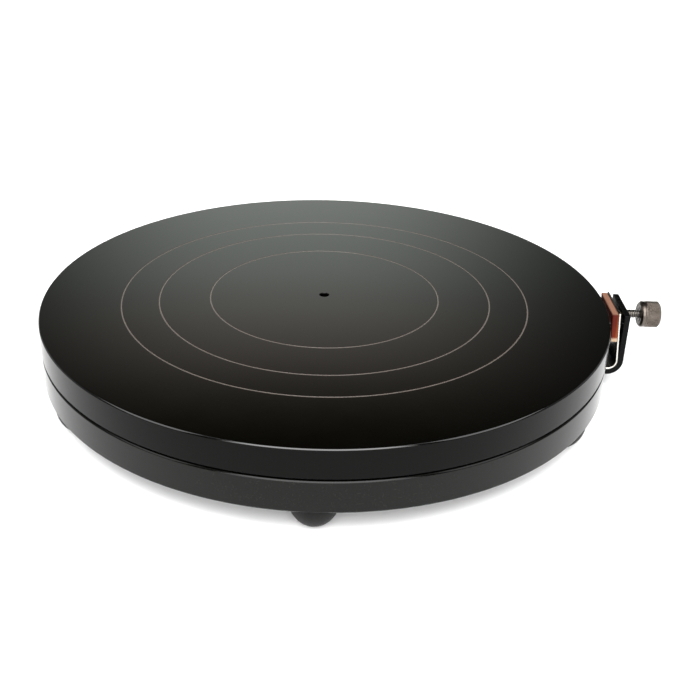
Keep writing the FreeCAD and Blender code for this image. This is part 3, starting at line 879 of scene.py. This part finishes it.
def make_screw():
    """1/4 in - 20 thread, right-hand: the helix climbs 1.27 mm along X per turn about X."""
    r_out, pitch, x0, x1 = 3.175, 1.27, 213.674, 240.0
    n, per = 72, 12
    steps = int(round((x1 - x0) / (pitch / per)))

    def outer(x):
        end = r_out
        if x < x0 + 0.5:
            end = r_out - 0.5 + (x - x0)

        def r(a):
            t = ((x / pitch) - a / (2 * math.pi)) % 1.0
            d = abs(t - 0.5) * 2            # 0 at the crest, 1 at the root
            depth = min(max((d - 0.14) / 0.66, 0.0), 1.0) * 0.74
            return min(r_out - depth, end)
        return r

    rings = [(x0 + (x1 - x0) * i / steps, outer(x0 + (x1 - x0) * i / steps)) for i in range(steps + 1)]
    rings += [(x1, 0), (218.52, 0), (218.52, 1.25), (x0, 1.25)]
    p = x_lathe("thumbscrew_thread", rings, n, [PLATED], AXIS_Z, sharp=60.0)
    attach(p, "brake_knob_screw")
    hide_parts("brake_screw")


def make_knob():
    """Turned head: plain collar, V groove, diamond knurling, bevelled ends."""
    x0, x1, r, ch = 229.1, 243.5, 9.525, 1.3
    k0, k1 = 233.15, x1 - ch
    teeth, n = 50, 500
    pitch = 1.2

    def knurled(x):
        fade = min(1.0, (x - k0) / 0.35, (k1 - x) / 0.3)

        def rr(a):
            u, v = a / (2 * math.pi) * teeth, x / pitch
            p1 = abs(((u + v) % 1.0) - 0.5) * 2
            p2 = abs(((u - v) % 1.0) - 0.5) * 2
            h = min(p1, p2, 0.82) / 0.82
            return r - 0.02 - 0.34 * (1 - h) * max(fade, 0.0)
        return rr

    rings, idx = [], []

    def add(x, rad, m):
        rings.append((x, rad))
        idx.append(m)

    for x, rad in ((x0 + 0.35, 3.195), (x0, 3.55), (x0, 5.4), (x0 + 0.15, 5.6), (x0 + 0.15, 6.2), (x0, 6.4)):
        add(x, rad, 1)
    for x, rad in ((x0, 6.6), (x0, r - ch - 0.4), (x0, r - ch - 0.15), (x0 + 0.06, r - ch + 0.02), (x0 + ch - 0.12, r - 0.10), (x0 + ch + 0.08, r - 0.01), (x0 + ch + 0.25, r - 0.01),
                   (231.7, r - 0.01), (231.85, r - 0.01), (232.0, r - 0.05), (232.42, r - 0.43), (232.58, r - 0.43), (232.98, r - 0.05), (k0, r - 0.02)):
        add(x, rad, 1)
    steps = 76
    for i in range(1, steps):
        add(k0 + (k1 - k0) * i / steps, knurled(k0 + (k1 - k0) * i / steps), 0)
    for x, rad in ((k1, r - 0.02), (k1 + 0.10, r - 0.10), (x1 - 0.10, r - ch + 0.08), (x1, r - ch - 0.1), (x1, r - ch - 0.4), (x1, 4.0)):
        add(x, rad, 1)
    add(x1, 0, 1)
    add(240.5, 0, 1)
    add(240.5, 3.195, 1)
    p = x_lathe("thumbscrew_knob", rings, n, [KNOB, KNOB_FACE], AXIS_Z, index=idx, sharp=48.0)
    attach(p, "brake_knob_screw")
    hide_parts("brake_knob")


make_platter()
make_base()
make_feet()
make_strap()
make_leaf()
make_pad()
make_screw()
make_knob()


# =====================================================================
# Floor
# =====================================================================
z_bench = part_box("feet")[0].z


def make_floor():
    a = Mat("floor_paper")
    n = a.noise(3.0, 3.0)
    a.colour(a.mix(n, (0.93, 0.93, 0.93), (0.95, 0.95, 0.95)))
    a.set(Roughness=0.9)
    me = bpy.data.meshes.new("studio_floor")
    s = 40.0
    me.from_pydata([(-s, -s, z_bench), (s, -s, z_bench), (s, s, z_bench), (-s, s, z_bench)], [], [(0, 1, 2, 3)])
    me.materials.append(a.m)
    o = bpy.data.objects.new("studio_floor", me)
    scene.collection.objects.link(o)


make_floor()
